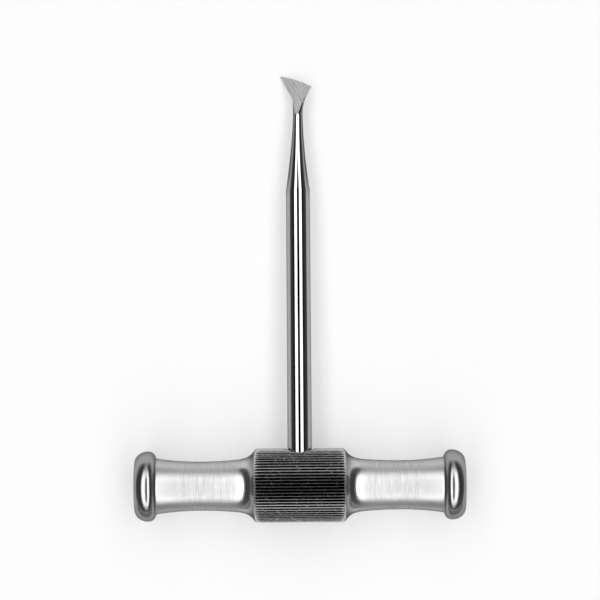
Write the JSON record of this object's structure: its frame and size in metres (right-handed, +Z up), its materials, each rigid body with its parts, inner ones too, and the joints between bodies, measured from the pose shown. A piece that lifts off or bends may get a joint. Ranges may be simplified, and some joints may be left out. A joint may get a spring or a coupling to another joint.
{
  "type": "cross-bar elevator",
  "caption": "Cross-bar elevator: a waisted steel cross handle with a straight-knurled grip, and a round shank that tapers to a small, flat-ground, fan-shaped blade.",
  "frame": {"origin": "on the table, under the middle of the instrument's outline, as it lies at rest", "axes": "+X along the cross bar, +Y along the shank from the bar to the blade, +Z up"},
  "size_m": [0.08, 0.109, 0.018],
  "materials": {
    "satin_steel": "satin",
    "polished_steel": "polished"
  },
  "bodies": {
    "root": {"handle": "satin_steel", "shank": "polished_steel"}
  },
  "joints": []
}
